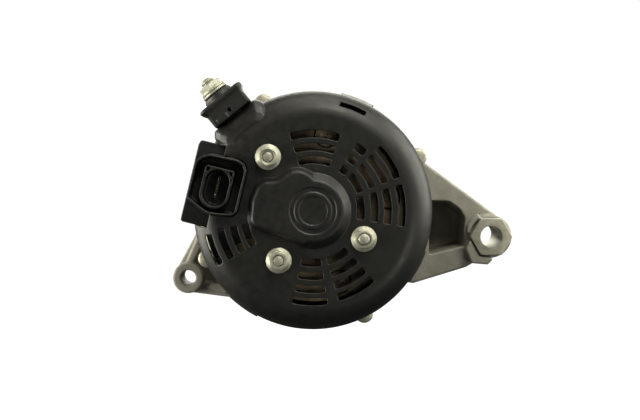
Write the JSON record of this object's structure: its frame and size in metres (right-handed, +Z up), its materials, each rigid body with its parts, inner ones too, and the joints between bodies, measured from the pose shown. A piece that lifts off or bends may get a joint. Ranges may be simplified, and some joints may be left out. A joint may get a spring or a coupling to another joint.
{
  "type": "car alternator",
  "caption": "Compact internal-fan car alternator with a black rear cover, two cast mounting ears, a ribbed belt pulley, a plug socket and a radial output stud.",
  "frame": {"origin": "on the rotor axis, in the plane of the two mounting ears' front faces, which bolt to the engine's bracket", "axes": "+Y along the rotor axis towards the pulley, +Z up, +X towards the pivot ear as seen from the rear cover"},
  "size_m": [0.1951, 0.1652, 0.1392],
  "materials": {
    "cast_housing": "sand-cast and die-cast, matte",
    "rectifier_fin": "stamped, dull",
    "black_cover": "moulded, satin, slightly dusty",
    "connector_plastic": "moulded, matte",
    "terminal_boot": "moulded, matte",
    "bobbin_plastic": "natural nylon",
    "zinc_fastener": "zinc plated",
    "bearing_steel": "ground",
    "pulley_steel": "turned",
    "fan_steel": "pressed sheet",
    "pole_iron": "forged, lacquered",
    "lamination_steel": "stacked sheet, lacquered",
    "enamelled_copper": "enamelled wire, varnished",
    "ring_copper": "turned",
    "brush_carbon": "pressed carbon",
    "tinned_terminal": "tinned"
  },
  "bodies": {
    "housing": {"b_terminal_insulator": "terminal_boot", "b_terminal_nut": "zinc_fastener", "b_terminal_stud": "zinc_fastener", "b_terminal_washer": "zinc_fastener", "bearing_retainer": "bearing_steel", "brush_holder": "connector_plastic", "brush_spring_front": "bearing_steel", "brush_spring_rear": "bearing_steel", "connector_terminals": "tinned_terminal", "cover_nut_1": "zinc_fastener", "cover_nut_2": "zinc_fastener", "cover_nut_3": "zinc_fastener", "cover_stud_1": "zinc_fastener", "cover_stud_2": "zinc_fastener", "cover_stud_3": "zinc_fastener", "diode_negative_1": "rectifier_fin", "diode_negative_2": "rectifier_fin", "diode_negative_3": "rectifier_fin", "diode_positive_1": "rectifier_fin", "diode_positive_2": "rectifier_fin", "diode_positive_3": "rectifier_fin", "drive_end_bracket": "cast_housing", "front_bearing_outer_race": "bearing_steel", "pivot_bush": "zinc_fastener", "rear_bearing_outer_race": "bearing_steel", "rear_cover": "black_cover", "rear_end_frame": "cast_housing", "rectifier_negative_plate": "rectifier_fin", "rectifier_positive_plate": "rectifier_fin", "rectifier_terminal_block": "connector_plastic", "regulator": "connector_plastic", "retainer_screw_1": "zinc_fastener", "retainer_screw_2": "zinc_fastener", "retainer_screw_3": "zinc_fastener", "stator_core": "lamination_steel", "stator_winding": "enamelled_copper", "through_bolt_1": "zinc_fastener", "through_bolt_2": "zinc_fastener", "through_bolt_3": "zinc_fastener", "through_bolt_4": "zinc_fastener"},
    "rotor": {"rotor_shaft": "bearing_steel", "slip_ring_sleeve": "connector_plastic", "slip_ring_rear": "ring_copper", "slip_ring_front": "ring_copper", "rear_claw_pole": "pole_iron", "front_claw_pole": "pole_iron", "coil_bobbin": "bobbin_plastic", "field_coil": "enamelled_copper", "rear_fan": "fan_steel", "front_fan": "fan_steel", "front_bearing_inner_race": "bearing_steel", "rear_bearing_inner_race": "bearing_steel", "pulley": "pulley_steel", "pulley_spacer": "bearing_steel", "pulley_nut": "zinc_fastener"},
    "front_ball_cage": {"front_bearing_balls": "bearing_steel"},
    "rear_ball_cage": {"rear_bearing_balls": "bearing_steel"},
    "front_brush": {"brush_front": "brush_carbon"},
    "rear_brush": {"brush_rear": "brush_carbon"}
  },
  "joints": [
    {"name": "rotor_spin", "type": "hinge", "parent": "housing", "child": "rotor", "pos_m": [0, 0.007, 0], "axis": [0, 1, 0], "continuous": true},
    {"name": "front_bearing_spin", "type": "hinge", "parent": "housing", "child": "front_ball_cage", "pos_m": [0, 0.007, 0], "axis": [0, 1, 0], "continuous": true},
    {"name": "rear_bearing_spin", "type": "hinge", "parent": "housing", "child": "rear_ball_cage", "pos_m": [0, -0.074, 0], "axis": [0, 1, 0], "continuous": true},
    {"name": "front_brush_slide", "type": "slide", "parent": "housing", "child": "front_brush", "axis": [-0.9715, 0, 0.2368], "range_m": [0, 0.005], "stiffness_N_per_m": 150, "springref_m": -0.012, "deforming": ["brush_spring_front"]},
    {"name": "rear_brush_slide", "type": "slide", "parent": "housing", "child": "rear_brush", "axis": [-0.9715, 0, 0.2368], "range_m": [0, 0.005], "stiffness_N_per_m": 150, "springref_m": -0.012, "deforming": ["brush_spring_rear"]}
  ],
  "couplings": [
    {"joint": "front_bearing_spin", "follows": "rotor_spin", "ratio": 0.401},
    {"joint": "rear_bearing_spin", "follows": "rotor_spin", "ratio": 0.413}
  ]
}
